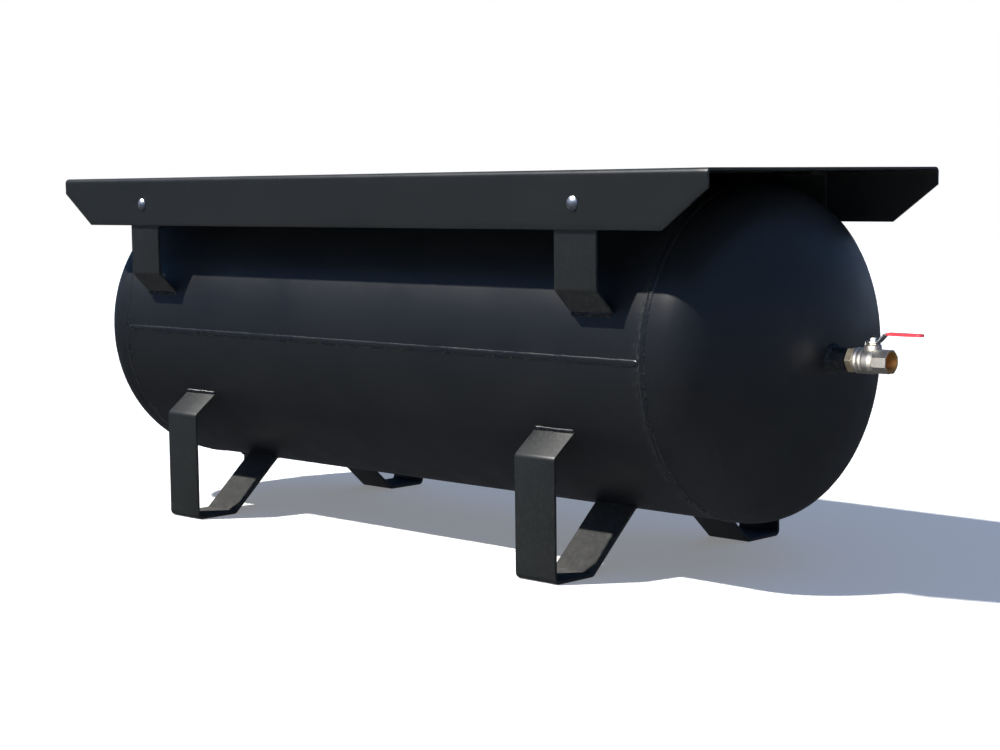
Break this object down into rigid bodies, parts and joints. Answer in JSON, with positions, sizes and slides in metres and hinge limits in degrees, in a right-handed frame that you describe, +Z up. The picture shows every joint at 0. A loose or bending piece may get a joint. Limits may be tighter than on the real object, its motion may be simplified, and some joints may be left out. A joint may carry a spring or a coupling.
{
  "type": "air receiver tank",
  "caption": "Horizontal welded air receiver with dished ends, strap feet, a bolted flat deck on top and a lever ball valve at the outlet.",
  "frame": {"origin": "on the ground under the middle of the whole length, from the inlet socket to the lever's tip; the vessel's own middle is 60.6 mm towards -X", "axes": "+X along the vessel towards the outlet valve, +Y to the rear, +Z up"},
  "size_m": [1.6978, 0.5706, 0.599],
  "materials": {
    "black_paint": "semi-gloss black enamel, slightly orange-peeled",
    "zinc_plate": "bright zinc plate",
    "nickel_plate": "satin nickel plate over forged brass",
    "plated_brass": "thin nickel plate over machined brass",
    "brass": "machined brass",
    "chromed_ball": "polished chrome",
    "ptfe": "machined white plastic",
    "dark_steel": "black pipe fitting with thread sealant",
    "lever_steel": "zinc-plated pressed steel",
    "red_vinyl": "dip-moulded red vinyl"
  },
  "bodies": {
    "receiver": {"shell": "black_paint", "left_head": "black_paint", "right_head": "black_paint", "left_girth_weld": "black_paint", "right_girth_weld": "black_paint", "seam_weld": "black_paint", "deck": "black_paint", "front_left_foot": "black_paint", "front_right_foot": "black_paint", "rear_left_foot": "black_paint", "rear_right_foot": "black_paint", "foot_welds": "black_paint", "front_left_bracket": "black_paint", "front_right_bracket": "black_paint", "rear_left_bracket": "black_paint", "rear_right_bracket": "black_paint", "bracket_welds": "black_paint", "deck_bolts": "zinc_plate", "deck_washers": "zinc_plate", "deck_nuts": "zinc_plate", "outlet_socket": "black_paint", "outlet_socket_weld": "black_paint", "outlet_nipple": "dark_steel", "inlet_socket": "black_paint", "inlet_socket_weld": "black_paint", "drain_socket": "black_paint", "drain_socket_weld": "black_paint", "drain_plug": "dark_steel", "valve_body": "nickel_plate", "valve_end_piece": "plated_brass", "inlet_seat": "ptfe", "outlet_seat": "ptfe", "stem_packing": "ptfe", "gland_nut": "plated_brass"},
    "valve_lever": {"ball": "chromed_ball", "stem": "brass", "stem_washer": "ptfe", "lever": "lever_steel", "lever_nut": "zinc_plate", "lever_grip": "red_vinyl"}
  },
  "joints": [
    {"name": "lever_turn", "type": "hinge", "parent": "receiver", "child": "valve_lever", "pos_m": [0.76759, 0, 0.327], "axis": [0, 0, 1], "range_deg": [-90, 0]}
  ]
}
